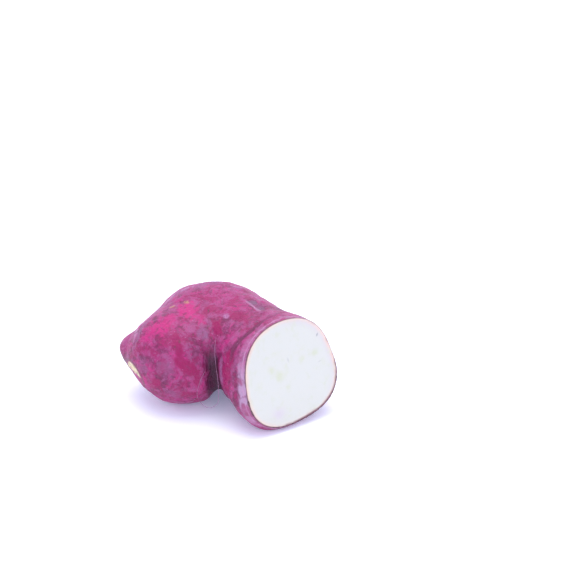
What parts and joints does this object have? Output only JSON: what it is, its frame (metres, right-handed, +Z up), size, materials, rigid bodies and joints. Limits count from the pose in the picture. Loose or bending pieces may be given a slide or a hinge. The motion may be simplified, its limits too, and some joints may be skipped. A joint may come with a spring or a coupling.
{
  "type": "sweet potato",
  "caption": "Whole sweet potato storage root, bent and lobed, purple skinned, with one end sliced flat to show pale flesh.",
  "frame": {"origin": "centre of the bounding box at the level of the table the root lies on", "axes": "+Z up, +X along the longest extent towards the sliced end, -Y the hollow side of the bend"},
  "size_m": [0.1272, 0.1006, 0.0634],
  "materials": {
    "skin": "thin waxy root skin, mottled magenta with a paler bloom"
  },
  "bodies": {
    "root": {"sweet_potato_root": "skin"}
  },
  "joints": []
}
